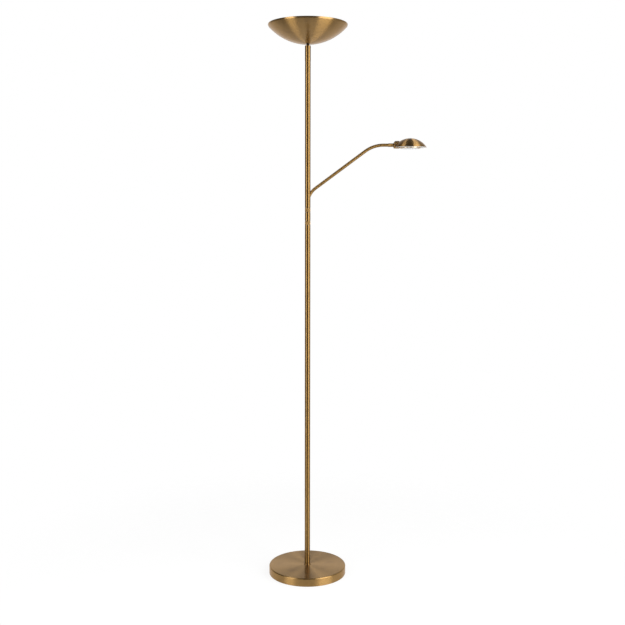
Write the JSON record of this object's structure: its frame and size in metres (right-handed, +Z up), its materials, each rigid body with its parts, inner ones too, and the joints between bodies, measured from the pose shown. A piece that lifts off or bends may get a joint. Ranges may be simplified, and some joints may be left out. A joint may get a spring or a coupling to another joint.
{
  "type": "floor lamp with reading light",
  "caption": "Floor lamp with a round weighted base, a slim pole, an upward bowl uplighter and a swivelling reading light on a bent arm.",
  "frame": {"origin": "centre of the base's underside, on the pole's axis", "axes": "+Z up along the pole; +X towards the reading arm at rest; +Y towards the back, where the cable inlet is"},
  "size_m": [0.51, 0.2576, 1.8],
  "materials": {
    "brushed_brass": "satin, brushed, antique",
    "spun_brass": "satin, circular brushing, antique",
    "plated_steel": "zinc plated",
    "dark_stud": "blackened",
    "cast_iron": "as cast",
    "heat_sink": "satin",
    "foam_pad": "matt foam",
    "black_rubber": "matt",
    "black_plastic": "matt",
    "lead_sheath": "smooth sheath",
    "white_plastic": "matt",
    "emitter_board": "white solder mask",
    "white_enamel": "satin enamel",
    "opal": "opal, satin"
  },
  "bodies": {
    "stand": {"base_pad": "foam_pad", "ballast_disc": "cast_iron", "base_cover": "brushed_brass", "cable_inlet_grommet": "black_rubber", "terminal_block": "white_plastic", "led_driver": "white_plastic", "supply_lead": "lead_sheath", "pole_lead": "lead_sheath", "clamp_washer": "plated_steel", "clamp_nut": "plated_steel", "base_stud": "plated_steel", "pole_foot_ring": "brushed_brass", "pole_foot_plug": "plated_steel", "lower_pole_tube": "brushed_brass", "pole_joint_socket": "plated_steel", "pole_joint_spigot": "plated_steel", "middle_pole_tube": "brushed_brass", "dimmer_core": "plated_steel", "dimmer_housing": "brushed_brass", "reading_dimmer_track": "black_plastic", "uplight_dimmer_track": "black_plastic", "thrust_washer": "white_plastic", "swivel_stop_screw": "plated_steel"},
    "reading_dimmer": {"reading_dimmer_ring": "brushed_brass"},
    "uplight_dimmer": {"uplight_dimmer_ring": "brushed_brass"},
    "upper_pole": {"swivel_spindle": "plated_steel", "friction_washer": "black_rubber", "friction_nut": "plated_steel", "upper_pole_tube": "brushed_brass", "arm_saddle": "black_plastic", "reading_arm": "brushed_brass", "arm_spigot": "plated_steel", "reading_lead": "lead_sheath", "uplight_lead": "lead_sheath", "top_ferrule": "brushed_brass", "neck_nipple": "dark_stud", "bowl_shade": "spun_brass", "bowl_washer": "plated_steel", "bowl_nut": "plated_steel", "uplight_heat_sink": "heat_sink", "heat_sink_nut": "plated_steel", "uplight_led_board": "emitter_board", "opal_posts": "plated_steel", "opal_plate": "opal", "opal_screws": "brushed_brass"},
    "knuckle": {"swivel_knuckle": "brushed_brass", "roll_stop_screw": "plated_steel"},
    "head": {"head_shell": "spun_brass", "tilt_pin": "plated_steel", "head_heat_sink": "heat_sink", "heat_sink_screw": "plated_steel", "head_led_board": "emitter_board", "head_plate": "white_enamel", "plate_screws": "plated_steel", "lens_ring": "brushed_brass", "reading_lens": "opal"}
  },
  "joints": [
    {"name": "reading_dimmer_turn", "type": "hinge", "parent": "stand", "child": "reading_dimmer", "pos_m": [0, 0, 1.1733], "axis": [0, 0, 1], "range_deg": [-135, 135]},
    {"name": "uplight_dimmer_turn", "type": "hinge", "parent": "stand", "child": "uplight_dimmer", "pos_m": [0, 0, 1.2149], "axis": [0, 0, 1], "range_deg": [-135, 135]},
    {"name": "upper_pole_swivel", "type": "hinge", "parent": "stand", "child": "upper_pole", "pos_m": [0, 0, 1.2222], "axis": [0, 0, 1], "range_deg": [-160, 160]},
    {"name": "head_roll", "type": "hinge", "parent": "upper_pole", "child": "knuckle", "pos_m": [0.264, 0, 1.4225], "axis": [1, 0, 0], "range_deg": [-150, 150]},
    {"name": "head_tilt", "type": "hinge", "parent": "knuckle", "child": "head", "pos_m": [0.282, 0, 1.4225], "axis": [0, 1, 0], "range_deg": [-25, 25]}
  ]
}
